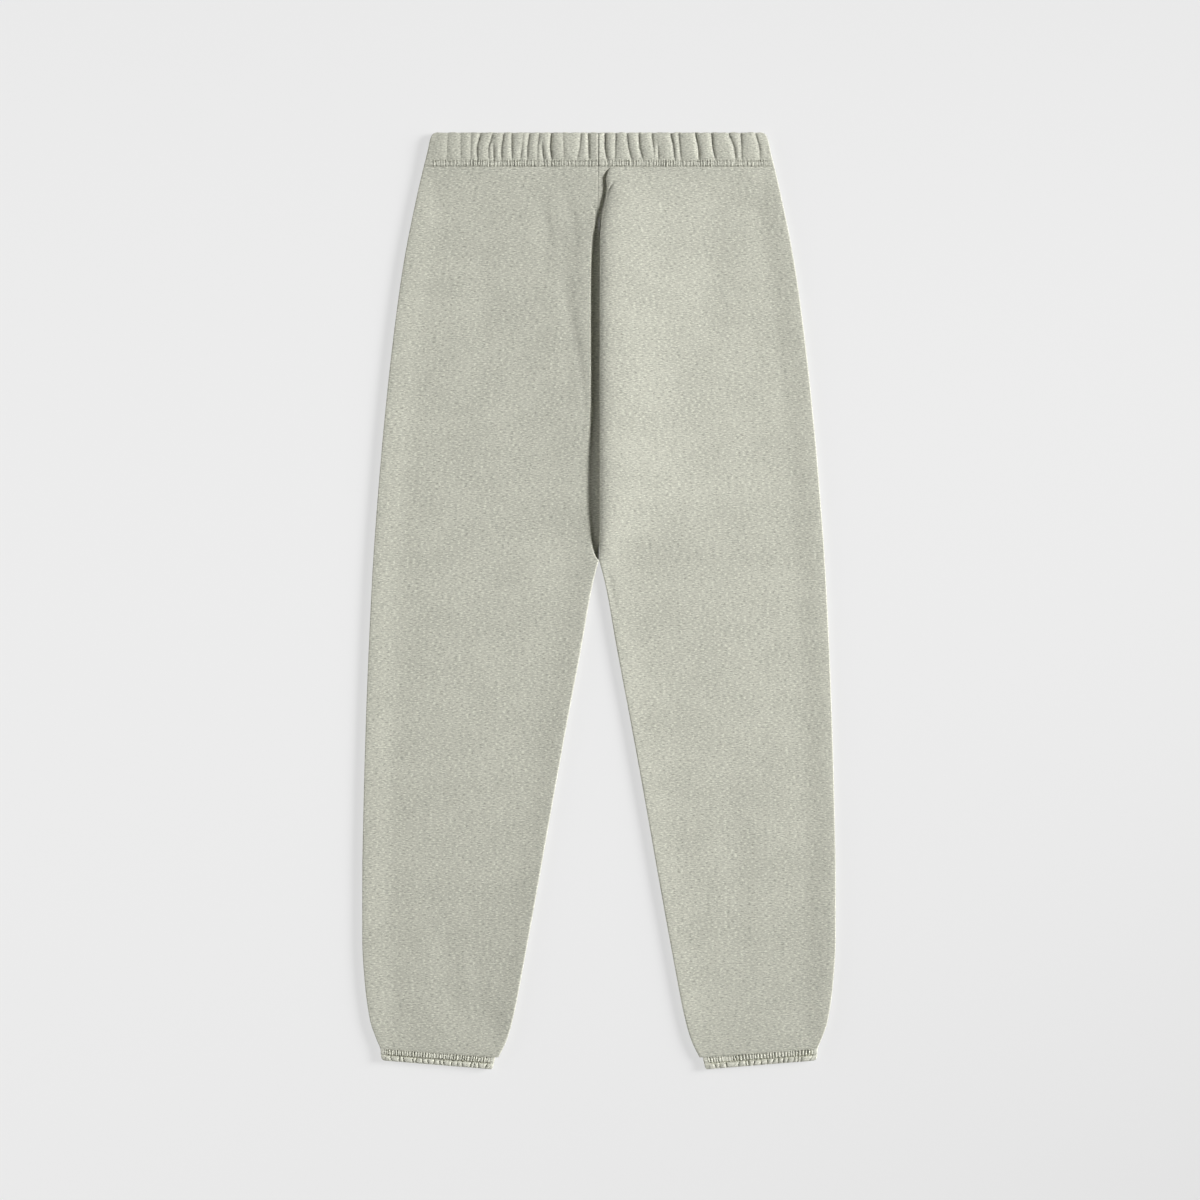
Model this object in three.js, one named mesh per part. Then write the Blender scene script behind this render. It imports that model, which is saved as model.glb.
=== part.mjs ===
// Jogger sweatpants in brushed-back fleece, laid flat on their front so that the back is uppermost.
// Millimetres. +X runs to the right across the back, +Y towards the waist and +Z up from the surface
// that they lie on. The origin is on that surface, under the middle of the outline. "down" is measured
// along the garment from the fold at the top of the waistband, and "out" from the centre line to either
// side.
import * as THREE from "three";

// Driving dimensions
const LENGTH = 1031.6; // from the waist fold to the lowest corner of a hem
const CLOTH = 2.2; // thickness of the fleece
const SEAM_GAP = 0.3; // between two pieces that are sewn together
const WAIST_SEAM = 38; // foot of the waistband casing
const CROTCH = 471; // where the legs part
const HEM_SEAM = 1008.2; // top of a hem casing at the side seam
const HEM_SLANT = 9.8; // how much lower a hem casing is at the inner leg
const HEM_DEPTH = 13.3; // height of a hem casing
const HEM_NOTCH = 3.5; // how far the top of a hem casing is drawn in at the inner leg
const CASING_WALL = 3.7; // two layers of fleece with the elastic between them
const CASING_HOLLOW = 0.6; // between the two walls of a casing that lies flat
const CENTRE_BACK = -1; // x of the centre back seam where it shows

// Heights of the upper surface above the resting surface
const FLAT_TOP = 5.8; // two layers and a little air between them, away from any edge
const EDGE_TOP = 8.2; // along the seams, which keep their allowances inside
const EDGE_RADIUS = EDGE_TOP / 2;

// The side seam and the inner leg, as half of the outline
const SIDE_SEAM = [
  { down: 0, out: 180 },
  { down: 2, out: 183 },
  { down: 8, out: 186 },
  { down: 20, out: 188.5 },
  { down: 38, out: 193 },
  { down: 75, out: 201.5 },
  { down: 141, out: 214.5 },
  { down: 207, out: 224 },
  { down: 295, out: 234 },
  { down: 383, out: 242 },
  { down: 471, out: 248.5 },
  { down: 559, out: 253 },
  { down: 647, out: 256.5 },
  { down: 735, out: 259 },
  { down: 823, out: 260.5 },
  { down: 889, out: 260.5 },
  { down: 933, out: 258 },
  { down: 977, out: 252 },
  { down: 999, out: 245 },
  { down: 1009, out: 239.5 },
  { down: 1022, out: 236.5 },
];
const INNER_LEG = [
  { down: 471, out: 0.15 },
  { down: 493, out: 6 },
  { down: 515, out: 10.5 },
  { down: 559, out: 18 },
  { down: 647, out: 34.5 },
  { down: 735, out: 50.5 },
  { down: 823, out: 66 },
  { down: 911, out: 82 },
  { down: 977, out: 95 },
  { down: 999, out: 101.5 },
  { down: 1018, out: 110.5 },
  { down: 1031.6, out: 117.5 },
];

// The fold down the middle of the seat, where the right back rolls over the left one. Each back rolls down
// over a lip, drops to a floor and meets it at a turn in degrees: at 0 it runs on towards the centre, at 90
// it points straight down and at 180 it has rolled back under its own lip. A straight tail then reaches the
// seam, and climbs to it by the rise. At the crotch both have become the roll of an inner leg seam.
const RIGHT_FOLD = [
  { down: 38, top: 8.2, lip: 6.5, radius: 3, floor: 7.9, turn: 0, seam: -0.85, rise: 0.3 },
  { down: 46, top: 8.6, lip: 7, radius: 3, floor: 7.2, turn: 0, seam: -0.85, rise: 1 },
  { down: 60, top: 9.6, lip: 8, radius: 3, floor: 6, turn: 0, seam: -0.85, rise: 2.1 },
  { down: 75, top: 11, lip: 6.8, radius: 2.8, floor: 5.6, turn: 0, seam: -0.85, rise: 2.2 },
  { down: 97, top: 13, lip: 2.2, radius: 2.8, floor: 5.6, turn: 0, seam: -1.35, rise: 0.5 },
  { down: 110, top: 14, lip: 0.8, radius: 2.8, floor: 5.5, turn: 90, seam: 0.8, rise: 0 },
  { down: 130, top: 14.5, lip: 0.3, radius: 3, floor: 5.15, turn: 180, seam: 5, rise: 0 },
  { down: 150, top: 14.8, lip: 0.3, radius: 3, floor: 5.15, turn: 180, seam: 11, rise: 0 },
  { down: 185, top: 15, lip: 0.3, radius: 3, floor: 5.15, turn: 180, seam: 17, rise: 0 },
  { down: 380, top: 14.5, lip: 0.3, radius: 3, floor: 5.15, turn: 180, seam: 17, rise: 0 },
  { down: 425, top: 12.8, lip: 0.3, radius: 3, floor: 5.15, turn: 180, seam: 7, rise: 0 },
  { down: 446, top: 11, lip: 0.3, radius: 3, floor: 5.3, turn: 150, seam: 2, rise: 0 },
  { down: 458, top: 9.5, lip: 0.25, radius: 3.2, floor: 4.9, turn: 115, seam: 0.3, rise: 0 },
  { down: 471, top: 8.2, lip: 0.15, radius: 3.95, floor: 4.25, turn: 90, seam: 0.15, rise: 0 },
];
const LEFT_FOLD = [
  { down: 38, top: 8.2, lip: 9, radius: 3, floor: 8, turn: 0, seam: 1.15, rise: 0.2 },
  { down: 75, top: 8.7, lip: 8, radius: 3, floor: 8, turn: 0, seam: 1.15, rise: 0 },
  { down: 97, top: 9.6, lip: 5, radius: 2.8, floor: 6.6, turn: 0, seam: 1.65, rise: 0 },
  { down: 110, top: 10.4, lip: 8.5, radius: 2.8, floor: 5, turn: 0, seam: -0.4, rise: 0 },
  { down: 130, top: 11, lip: 9.4, radius: 3, floor: 4.8, turn: 0, seam: -5, rise: 0 },
  { down: 150, top: 11.2, lip: 9.4, radius: 3, floor: 4.8, turn: 0, seam: -11, rise: 0 },
  { down: 185, top: 11.4, lip: 9.4, radius: 3, floor: 4.8, turn: 0, seam: -17, rise: 0 },
  { down: 330, top: 11.2, lip: 9.4, radius: 3.2, floor: 4.8, turn: 0, seam: -17, rise: 0 },
  { down: 380, top: 10.8, lip: 11, radius: 4, floor: 4.8, turn: 0, seam: -17, rise: 0 },
  { down: 425, top: 10, lip: 11, radius: 4.5, floor: 4.8, turn: 0, seam: -7, rise: 0 },
  { down: 446, top: 9.2, lip: 7.5, radius: 3.6, floor: 4.8, turn: 0, seam: -1.5, rise: 0 },
  { down: 458, top: 8.7, lip: 3.4, radius: 3.6, floor: 5, turn: 50, seam: 1.2, rise: 0 },
  { down: 471, top: 8.2, lip: 0.15, radius: 3.95, floor: 4.25, turn: 90, seam: 0.15, rise: 0 },
];
// Away from the fold each back keeps its height over a crest and then sinks to the flat
const CREST = { left: { width: 4, fall: 60, swell: 0 }, right: { width: 24, fall: 85, swell: 0.12 } };
const FRONT_TURNS = 446; // below this the fronts turn up to their inner leg seams

// The largest soft folds of the backs, each a line between two points, with x to the right
const SOFT_FOLDS = [
  { x1: -38, down1: 70, x2: -30, down2: 320, width: 12, lift: -1.2 },
  { x1: -66, down1: 60, x2: -58, down2: 170, width: 12, lift: -0.8 },
  { x1: -128, down1: 80, x2: -128, down2: 270, width: 17, lift: -0.7 },
  { x1: 130, down1: 60, x2: 122, down2: 250, width: 19, lift: -0.8 },
  { x1: 144, down1: 690, x2: 158, down2: 930, width: 18, lift: -1.0 },
  { x1: -172, down1: 850, x2: -160, down2: 975, width: 16, lift: -1.0 },
];

// The creases between the gathers of the waistband, across the back
const WAIST_CREASES = [
  { x: -167, depth: 0.7 },
  { x: -152, depth: 0.8 },
  { x: -132, depth: 1.2 },
  { x: -121, depth: 1 },
  { x: -106, depth: 1 },
  { x: -96, depth: 1.1 },
  { x: -87, depth: 0.8 },
  { x: -78, depth: 1.2 },
  { x: -66, depth: 1.2 },
  { x: -52, depth: 1.7 },
  { x: -36, depth: 0.5 },
  { x: -24, depth: 0.9 },
  { x: -12, depth: 1.6 },
  { x: 7, depth: 1.6 },
  { x: 18, depth: 1.1 },
  { x: 33, depth: 1.5 },
  { x: 47, depth: 1.2 },
  { x: 61, depth: 1.2 },
  { x: 81, depth: 1.6 },
  { x: 90, depth: 1.2 },
  { x: 109, depth: 1.6 },
  { x: 126, depth: 1.6 },
  { x: 145, depth: 1.3 },
  { x: 157, depth: 1 },
  { x: 174, depth: 0.9 },
];
const WAIST_RIDGE = 0.75; // height of the cloth between two creases 14 mm apart
const HEM_GATHERS = 26; // on the upper side of each hem
const HEM_RIDGE = 0.35;
const HEM_VALLEY = -0.75;

// The casings' outer surfaces: how high the upper one lies, how far the lower one is off the surface,
// and what share of the gathers shows there
const WAIST_CASING = [
  { down: 37.85, top: 8.2, under: 0, gather: 0 },
  { down: 34.5, top: 8.5, under: 0, gather: 0.4 },
  { down: 31.3, top: 8.2, under: 0, gather: 0.15 },
  { down: 26, top: 9.2, under: 0, gather: 1 },
  { down: 14, top: 9.7, under: 0, gather: 1 },
  { down: 4, top: 9, under: 0, gather: 1 },
  { down: 0, top: 6.9, under: 1.4, gather: 0.3 },
];
const HEM_CASING = [
  { down: 0.15, top: 8.2, under: 0, gather: 0 },
  { down: 3.2, top: 8.7, under: 0, gather: 0.5 },
  { down: 6.3, top: 7.9, under: 0, gather: 0.2 },
  { down: 9.6, top: 9.1, under: 0, gather: 1 },
  { down: 12.4, top: 8.4, under: 0, gather: 1 },
  { down: HEM_DEPTH, top: 6.7, under: 1.5, gather: 0.3 },
];

// Rows and columns of the panels
const BACK_ROWS = [
  WAIST_SEAM + 0.15, 48, 60, 75, 86, 97, 103, 110, 120, 130, 150, 185, 240, 310, 380, 405, 425, 446, 458, CROTCH,
  493, 530, 590, 660, 730, 800, 860, 910, 950, 980, 998, HEM_SEAM - 0.15,
];
const FRONT_ROWS = [
  WAIST_SEAM + 0.15, 75, 141, 207, 295, 383, FRONT_TURNS, 459, CROTCH,
  493, 530, 600, 700, 800, 880, 925, 957, 982, 998, HEM_SEAM - 0.15,
];
const ROLL_STEPS = 4;
const SPREAD_SHARES = [0.06, 0.14, 0.24, 0.35, 0.46, 0.57, 0.68, 0.78, 0.86, 0.92, 0.96];
const FOLD_STEPS = 9;
const TAIL_WEIGHT = 0.2; // how closely a tail is stepped, against the roll before it

const RADIANS = Math.PI / 180;
const fleece = new THREE.MeshStandardMaterial({ color: 0xbdbdb0, roughness: 0.95, metalness: 0 });
const casing = new THREE.MeshStandardMaterial({ color: 0xb8b8a9, roughness: 0.95, metalness: 0 });

const smooth = (t) => {
  const s = Math.min(Math.max(t, 0), 1);
  return s * s * (3 - 2 * s);
};

// A value between the rows of a table, smooth and without overshoot
function along(table, column, down) {
  const last = table.length - 1;
  if (down <= table[0].down) return table[0][column];
  if (down >= table[last].down) return table[last][column];
  const i = table.findIndex((row) => row.down > down) - 1;
  const rise = (k) => (table[k + 1][column] - table[k][column]) / (table[k + 1].down - table[k].down);
  const slope = (k) => {
    if (k === 0) return rise(0);
    if (k === last) return rise(last - 1);
    const product = rise(k - 1) * rise(k);
    return product <= 0 ? 0 : (2 * product) / (rise(k - 1) + rise(k));
  };
  const span = table[i + 1].down - table[i].down;
  const t = (down - table[i].down) / span;
  const ease = t * t * (3 - 2 * t);
  const leave = t * (1 - t) * (1 - t);
  const arrive = t * t * (1 - t);
  return (
    table[i][column] * (1 - ease) +
    table[i + 1][column] * ease +
    span * (leave * slope(i) - arrive * slope(i + 1))
  );
}

// The two ends of a row of a leg. A row sinks towards the inner leg as it nears the hem.
function rowEnds(down) {
  const slant = HEM_SLANT * smooth((down - CROTCH) / (HEM_SEAM - CROTCH));
  return {
    side: { out: along(SIDE_SEAM, "out", down), down },
    inner: { out: along(INNER_LEG, "out", down + slant), down: down + slant },
  };
}

function downAt(ends, out) {
  const share = (ends.side.out - out) / (ends.side.out - ends.inner.out);
  return ends.side.down + share * (ends.inner.down - ends.side.down);
}

// How far the soft folds lift a point of the back
function softFolds(x, down) {
  return SOFT_FOLDS.reduce((sum, fold) => {
    const run = new THREE.Vector2(fold.x2 - fold.x1, fold.down2 - fold.down1);
    const from = new THREE.Vector2(x - fold.x1, down - fold.down1);
    const t = from.dot(run) / run.lengthSq();
    if (t <= 0 || t >= 1) return sum;
    const away = Math.abs(from.cross(run)) / run.length();
    return sum + fold.lift * Math.sin(Math.PI * t) ** 0.7 * Math.exp(-((away / fold.width) ** 2));
  }, 0);
}

// The height of a back's upper surface between its side seam and its inner lip
function backTop(side, out, down, lip) {
  const lift = EDGE_TOP - FLAT_TOP;
  const seat = 1 - smooth((down - 400) / (CROTCH - 400));
  const crest = side > 0 ? CREST.right : CREST.left;
  const fall = 34 + (crest.fall - 34) * seat;
  const past = out - lip.out;
  const swell = 1 + crest.swell * seat * Math.sin(Math.PI * Math.min(Math.max(past / (2 * crest.width), 0), 1));
  const rises = [
    lift * (1 - smooth((rowEnds(down).side.out - EDGE_RADIUS - out) / 34)),
    (lip.top - FLAT_TOP) * swell * (1 - smooth((past - crest.width * seat) / fall)),
    lift * (1 - smooth((down - WAIST_SEAM) / 60)),
    lift * (1 - smooth((HEM_SEAM - down) / 45)),
  ];
  const rise = rises.reduce((sum, r) => sum + Math.max(r, 0) ** 8, 0) ** 0.125;
  const inside = smooth((rowEnds(down).side.out - out) / 30) * smooth(past / 12);
  return FLAT_TOP + rise + inside * softFolds(side * out, down);
}

// A point of a section, with the direction in which its cloth faces
function sectionPoint(out, z, faceOut, faceUp) {
  const size = Math.hypot(faceOut, faceUp);
  return { out, z, faceOut: faceOut / size, faceUp: faceUp / size };
}

// Follows the arcs and straights of a path from its start for a distance. The heading is 0 towards the
// centre and 90 degrees downwards, and the cloth faces to the left of it.
function walk(start, stretches, distance) {
  let { out, z, heading } = start;
  let left = distance;
  for (const { length, radius } of stretches) {
    const step = Math.min(left, length);
    const next = radius ? heading + step / radius : heading;
    out -= radius ? radius * (Math.sin(next) - Math.sin(heading)) : step * Math.cos(heading);
    z += radius ? radius * (Math.cos(next) - Math.cos(heading)) : -step * Math.sin(heading);
    heading = next;
    left -= step;
  }
  return { out, z, heading };
}

// A back's inner end in one row: the roll over its lip, the drop, the bend at the floor and the tail
function foldPath(side, down, ends) {
  const table = side > 0 ? RIGHT_FOLD : LEFT_FOLD;
  const at = (column) => along(table, column, down);
  const radius = at("radius");
  const turn = at("turn") * RADIANS;
  const drop = at("top") - at("floor");
  const shallow = Math.min(Math.max((1 + Math.cos(turn) - drop / radius) / 2, 0), 1);
  const steepest = turn < Math.PI / 2 ? Math.acos(shallow) : Math.PI / 2;
  const bend = turn - steepest;
  const stretches = [
    { length: radius * steepest, radius },
    { length: Math.max(drop - radius * (1 + Math.abs(Math.cos(turn))), 0), radius: 0 },
    { length: radius * Math.abs(bend), radius: radius * Math.sign(bend) },
  ];
  const run = stretches.reduce((sum, { length }) => sum + length, 0);
  const start = { out: at("lip") + radius + ends.inner.out - INNER_LEG[0].out, z: at("top"), heading: 0 };
  const toe = walk(start, stretches, run);
  const tail = Math.max((toe.out - at("seam")) * Math.cos(turn) ** 5, 0);
  const points = [];
  for (let i = 0; i <= FOLD_STEPS; i++) {
    const here = ((run + TAIL_WEIGHT * tail) * i) / FOLD_STEPS;
    const beyond = Math.max(here - run, 0) / TAIL_WEIGHT;
    const stretch = { length: tail, radius: 0 };
    const { out, z, heading } = walk(start, [...stretches, stretch], Math.min(here, run) + beyond);
    const rise = tail > 0 ? (at("rise") * beyond) / tail : 0;
    points.push(sectionPoint(out, z + rise, -Math.sin(heading), Math.cos(heading)));
  }
  return points;
}

// A back's outer points in one row, from the side seam to the centre or inner leg seam
function backSection(side, down) {
  const ends = rowEnds(down);
  const inner = foldPath(side, down, ends);
  const lip = { out: inner[0].out, top: inner[0].z };
  const topAt = (out) => backTop(side, out, downAt(ends, out), lip);
  const from = ends.side.out - EDGE_RADIUS;
  const mid = (EDGE_TOP + SEAM_GAP) / 2;
  const points = [];
  for (let i = 0; i <= ROLL_STEPS; i++) {
    const a = (90 * RADIANS * i) / ROLL_STEPS;
    const out = from + EDGE_RADIUS * Math.cos(a);
    points.push(sectionPoint(out, mid + (topAt(from) - mid) * Math.sin(a), Math.cos(a), Math.sin(a)));
  }
  SPREAD_SHARES.forEach((share) => {
    const out = from + (lip.out - from) * share;
    points.push(sectionPoint(out, topAt(out), (topAt(out - 1) - topAt(out + 1)) / 2, 1));
  });
  return { ends, points: [...points, ...inner] };
}

// A front's outer points in one row: flat on the surface, and turned up at the seams of the legs
function frontSection(side, down) {
  const ends = rowEnds(down);
  const turn = 90 * RADIANS * smooth((down - FRONT_TURNS) / (CROTCH - FRONT_TURNS));
  const height = EDGE_RADIUS - SEAM_GAP / 2;
  const from = ends.side.out - EDGE_RADIUS;
  const centre = ends.inner.out + EDGE_RADIUS * Math.sin(turn);
  const flatRun = 6 * (1 - Math.sin(turn));
  const points = [];
  for (let i = 0; i <= ROLL_STEPS; i++) {
    const a = 90 * RADIANS * (1 - i / ROLL_STEPS);
    points.push(sectionPoint(from + EDGE_RADIUS * Math.sin(a), height * (1 - Math.cos(a)), Math.sin(a), -Math.cos(a)));
  }
  for (const share of [0.25, 0.5, 0.75]) {
    points.push(sectionPoint(from + (centre - from) * share, 0, 0, -1));
  }
  for (let i = 0; i <= ROLL_STEPS; i++) {
    const share = i / ROLL_STEPS;
    const a = turn * share;
    const out = centre - EDGE_RADIUS * Math.sin(a) + flatRun * (1 - share);
    points.push(sectionPoint(out, height * (1 - Math.cos(a)), -Math.sin(a), -Math.cos(a)));
  }
  return { ends, points };
}

// The closed loop of a wall's section: its outer points, and back along its inner ones
function wallLoop(side, { ends, points }) {
  const place = (out, z) => new THREE.Vector3(side * out, LENGTH / 2 - downAt(ends, out), z);
  const outer = points.map((p) => place(p.out, p.z));
  const inner = points.map((p) => place(p.out - CLOTH * p.faceOut, p.z - CLOTH * p.faceUp));
  return [...outer, ...inner.reverse()];
}

// A closed solid swept through loops of equal length. A ring joins its last loop to its first, and
// anything else gets an end cap on both, triangulated as seen along the axis that is left out.
function sweep(loops, capAxes) {
  const size = loops[0].length;
  const corners = loops.flat();
  const faces = [];
  const spans = capAxes ? loops.length - 1 : loops.length;
  for (let i = 0; i < spans; i++) {
    const next = (i + 1) % loops.length;
    for (let j = 0; j < size; j++) {
      const a = i * size + j;
      const b = i * size + ((j + 1) % size);
      const c = next * size + ((j + 1) % size);
      const d = next * size + j;
      faces.push([a, b, c], [a, c, d]);
    }
  }
  if (capAxes) {
    [0, loops.length - 1].forEach((i) => {
      const flat = loops[i].map((p) => new THREE.Vector2(p[capAxes[0]], p[capAxes[1]]));
      const turned = THREE.ShapeUtils.isClockWise(flat);
      const at = (k) => i * size + (turned ? size - 1 - k : k);
      THREE.ShapeUtils.triangulateShape(turned ? flat.reverse() : flat, []).forEach(([a, b, c]) => {
        faces.push(turned === (i === 0) ? [at(a), at(b), at(c)] : [at(a), at(c), at(b)]);
      });
    });
  }
  const volume = faces.reduce((sum, [a, b, c]) => {
    return sum + corners[a].dot(new THREE.Vector3().crossVectors(corners[b], corners[c]));
  }, 0);
  const geometry = new THREE.BufferGeometry();
  geometry.setAttribute("position", new THREE.Float32BufferAttribute(corners.flatMap((p) => p.toArray()), 3));
  geometry.setIndex(faces.flatMap(([a, b, c]) => (volume > 0 ? [a, b, c] : [a, c, b])));
  geometry.computeVertexNormals();
  return geometry;
}

// One column of a casing: its outer points from the seam to the fold, and back along its inner wall
function casingLoop(rows, outerAt, innerAt) {
  return [...rows.map(outerAt), ...[rows[rows.length - 1], rows[0]].map(innerAt)];
}

// The columns across a half of the waistband's back, with the lift of its gathers at each
function waistColumns(side) {
  const start = side * CENTRE_BACK + SEAM_GAP / 2;
  const end = along(SIDE_SEAM, "out", WAIST_SEAM) - EDGE_RADIUS;
  const creases = WAIST_CREASES.filter(({ x }) => x * side > 0)
    .map(({ x, depth }) => ({ out: x * side, depth }))
    .sort((a, b) => a.out - b.out);
  const marks = [{ out: start, depth: 0.4 }, ...creases, { out: end, depth: 0 }];
  const columns = [];
  marks.slice(0, -1).forEach((mark, i) => {
    const next = marks[i + 1];
    const width = next.out - mark.out;
    const ridge = WAIST_RIDGE * Math.min(width / 14, 1);
    columns.push({ share: (mark.out - start) / (end - start), lift: -mark.depth });
    [0.22, 0.5, 0.8].forEach((across) => {
      columns.push({ share: (mark.out + width * across - start) / (end - start), lift: ridge });
    });
  });
  return [...columns, { share: 1, lift: 0 }];
}

// Half of the waistband, from the centre back round the side seam to the centre front
function waistbandHalf(side) {
  const turns = 6;
  const frontSteps = 5;
  const start = side * CENTRE_BACK + SEAM_GAP / 2;
  const middle = CASING_WALL + CASING_HOLLOW / 2;
  const place = (out, down, z) => new THREE.Vector3(side * out, LENGTH / 2 - down, z);
  const inset = (row) => (row.under > 0 ? 0.6 : 0);
  const edge = (row) => along(SIDE_SEAM, "out", row.down) - EDGE_RADIUS;
  const loops = waistColumns(side).map(({ share, lift }) => {
    const out = (row) => start + (edge(row) - start) * share;
    return casingLoop(
      WAIST_CASING,
      (row) => place(out(row), row.down, row.top + lift * row.gather),
      (row) => place(out(row), row.down + inset(row), middle + CASING_HOLLOW / 2),
    );
  });
  for (let i = 1; i < turns; i++) {
    const a = (180 * RADIANS * i) / turns;
    const hollow = (CASING_HOLLOW / 2) * Math.cos(a);
    loops.push(
      casingLoop(
        WAIST_CASING,
        (row) => {
          const half = (row.top - row.under) / 2;
          return place(edge(row) + EDGE_RADIUS * Math.sin(a), row.down, row.under + half + half * Math.cos(a));
        },
        (row) => place(edge(row) + 0.3 * Math.sin(a), row.down + inset(row), middle + hollow),
      ),
    );
  }
  for (let i = 0; i <= frontSteps; i++) {
    const out = (row) => edge(row) + (SEAM_GAP / 2 - edge(row)) * (i / frontSteps);
    loops.push(
      casingLoop(
        WAIST_CASING,
        (row) => place(out(row), row.down, row.under),
        (row) => place(out(row), row.down + inset(row), middle - CASING_HOLLOW / 2),
      ),
    );
  }
  return sweep(loops, ["y", "z"]);
}

// A hem casing: a closed ring, with its gathers on the upper side
function hemRing(side) {
  const turns = 5;
  const underSteps = 8;
  const middle = CASING_WALL + CASING_HOLLOW / 2;
  const inset = (row) => (row.under > 0 ? 0.6 : 0);
  // A point at a share of the way from the side seam's roll to the inner leg's, and a reach beyond it
  const place = (row, share, reach, z, up) => {
    const down = HEM_SEAM + row.down;
    const sideOut = along(SIDE_SEAM, "out", down);
    const notch = HEM_NOTCH * (1 - row.down / HEM_DEPTH);
    const innerOut = along(INNER_LEG, "out", down + HEM_SLANT) + notch;
    const from = sideOut - EDGE_RADIUS;
    const out = from + (innerOut + EDGE_RADIUS - from) * share + reach;
    const slant = (HEM_SLANT * (sideOut - out)) / (sideOut - innerOut);
    return new THREE.Vector3(side * out, LENGTH / 2 - down - slant + up, z);
  };
  const flatColumn = (share, heightAt, hollow) =>
    casingLoop(
      HEM_CASING,
      (row) => place(row, share, 0, heightAt(row), 0),
      (row) => place(row, share, 0, middle + hollow, inset(row)),
    );
  const endColumns = (share, outwards) => {
    const columns = [];
    for (let i = 1; i < turns; i++) {
      const a = (180 * RADIANS * i) / turns;
      const rise = outwards * Math.cos(a);
      const outerAt = (row) => {
        const half = (row.top - row.under) / 2;
        return place(row, share, outwards * EDGE_RADIUS * Math.sin(a), row.under + half - half * rise, 0);
      };
      const innerAt = (row) =>
        place(row, share, outwards * 0.3 * Math.sin(a), middle - (CASING_HOLLOW / 2) * rise, inset(row));
      columns.push(casingLoop(HEM_CASING, outerAt, innerAt));
    }
    return columns;
  };
  const stepsAcross = HEM_GATHERS * 3;
  const upper = Array.from({ length: stepsAcross + 1 }, (_, i) => {
    const lift = i % 3 === 0 ? HEM_VALLEY : HEM_RIDGE;
    const shown = i === 0 || i === stepsAcross ? 0 : lift;
    return flatColumn(i / stepsAcross, (row) => row.top + shown * row.gather, CASING_HOLLOW / 2);
  });
  const lower = Array.from({ length: underSteps + 1 }, (_, i) => {
    return flatColumn(1 - i / underSteps, (row) => row.under, -CASING_HOLLOW / 2);
  });
  return sweep([...upper, ...endColumns(1, -1), ...lower, ...endColumns(0, 1)], null);
}

function piece(name, geometry, material) {
  const mesh = new THREE.Mesh(geometry, material);
  mesh.name = name;
  return mesh;
}

const sweatpants = new THREE.Group();
[
  ["left", -1],
  ["right", 1],
].forEach(([name, side]) => {
  const panel = (rows, sectionAt) => sweep(rows.map((down) => wallLoop(side, sectionAt(side, down))), ["x", "z"]);
  sweatpants.add(
    piece("back_" + name, panel(BACK_ROWS, backSection), fleece),
    piece("front_" + name, panel(FRONT_ROWS, frontSection), fleece),
    piece("waistband_" + name, waistbandHalf(side), casing),
    piece("hem_" + name, hemRing(side), casing),
  );
});

export default sweatpants;
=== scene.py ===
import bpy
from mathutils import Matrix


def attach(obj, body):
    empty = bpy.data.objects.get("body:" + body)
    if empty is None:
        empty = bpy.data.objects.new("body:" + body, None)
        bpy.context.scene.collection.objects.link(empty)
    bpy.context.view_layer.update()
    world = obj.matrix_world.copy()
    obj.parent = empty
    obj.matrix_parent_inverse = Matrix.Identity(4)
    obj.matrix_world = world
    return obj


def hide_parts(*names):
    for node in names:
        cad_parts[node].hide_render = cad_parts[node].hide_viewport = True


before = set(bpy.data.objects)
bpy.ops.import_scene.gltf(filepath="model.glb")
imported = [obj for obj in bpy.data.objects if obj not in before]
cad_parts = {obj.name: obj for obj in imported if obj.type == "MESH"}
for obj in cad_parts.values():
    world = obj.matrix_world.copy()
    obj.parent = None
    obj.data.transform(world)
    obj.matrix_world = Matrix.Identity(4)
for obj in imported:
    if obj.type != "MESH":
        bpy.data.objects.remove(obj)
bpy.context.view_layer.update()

import math

import bpy
import numpy as np

MM = 0.001

# Driving dimensions, as in the solids
LENGTH = 1031.6  # from the waist fold to the lowest corner of a hem
CLOTH = 2.2  # thickness of the fleece
SEAM_GAP = 0.3  # between two pieces that are sewn together
WAIST_SEAM = 38  # foot of the waistband casing
CROTCH = 471  # where the legs part
HEM_SEAM = 1008.2  # top of a hem casing at the side seam
HEM_SLANT = 9.8  # how much lower a hem casing is at the inner leg
HEM_DEPTH = 13.3  # height of a hem casing
HEM_NOTCH = 3.5  # how far the top of a hem casing is drawn in at the inner leg
CASING_WALL = 3.7  # two layers of fleece with the elastic between them
CASING_HOLLOW = 0.6  # between the two walls of a casing that lies flat
CENTRE_BACK = -1  # x of the centre back seam where it shows
FLAT_TOP = 5.8  # height of the back away from any edge
EDGE_TOP = 8.2  # height along the seams
EDGE_RADIUS = EDGE_TOP / 2
EDGE_ROLL = 1.4  # radius at which the back turns over its edge, above a short upright stretch
SIDE_RISE = 34  # width over which a back rises to its side seam
WAIST_RISE = 60  # and to the waistband
HEM_RISE = 45  # and to a hem casing
SEAT_ENDS = 400  # below this the crests beside the fold narrow towards the crotch
CROTCH_FALL = 18  # fall of the crests at the crotch
FRONT_TURNS = 446  # below this the fronts turn up to their inner leg seams
FRONT_REACH = 6  # how far the flat inner end of a front stands back from its seam above that
UNEVEN = 0.3  # how far cloth that lies on cloth stands off an even surface

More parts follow.
